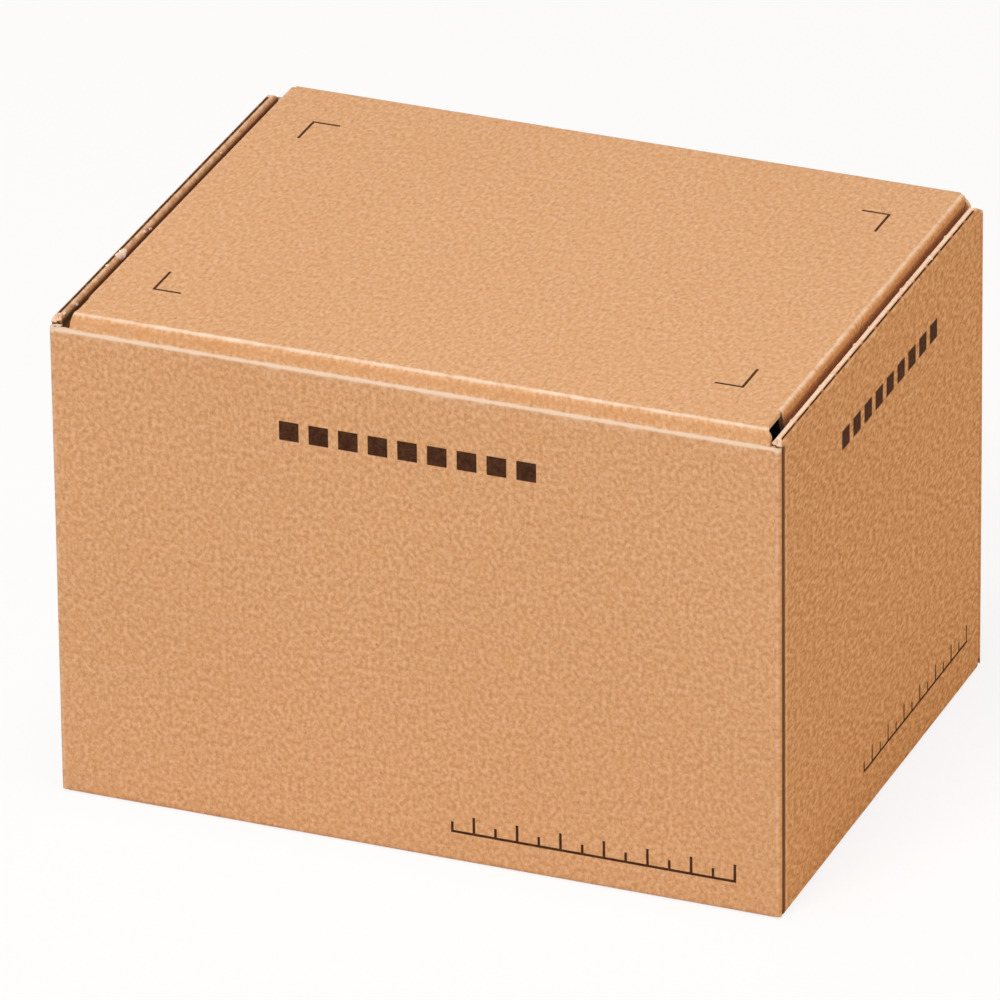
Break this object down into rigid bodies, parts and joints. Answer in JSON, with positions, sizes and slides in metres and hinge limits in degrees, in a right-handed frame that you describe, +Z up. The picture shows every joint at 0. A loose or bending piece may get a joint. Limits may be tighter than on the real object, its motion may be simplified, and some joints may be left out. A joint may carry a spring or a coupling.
{
  "type": "corrugated mailer box",
  "caption": "Small folded corrugated mailer box with double roll-over end walls and a hinged tuck-in lid.",
  "frame": {"origin": "centre of the box's footprint, on the surface that it stands on", "axes": "+X along the hinge wall, +Y from the hinge wall to the far wall, +Z up"},
  "size_m": [0.1678, 0.1266, 0.1164],
  "materials": {
    "kraft_board": "matt unbleached kraft"
  },
  "bodies": {
    "tray": {"tray": "kraft_board"},
    "lid": {"lid": "kraft_board"}
  },
  "joints": [
    {"name": "lid_hinge", "type": "hinge", "parent": "tray", "child": "lid", "pos_m": [0, -0.0617, 0.1158], "axis": [1, 0, 0], "range_deg": [0, 180]}
  ]
}
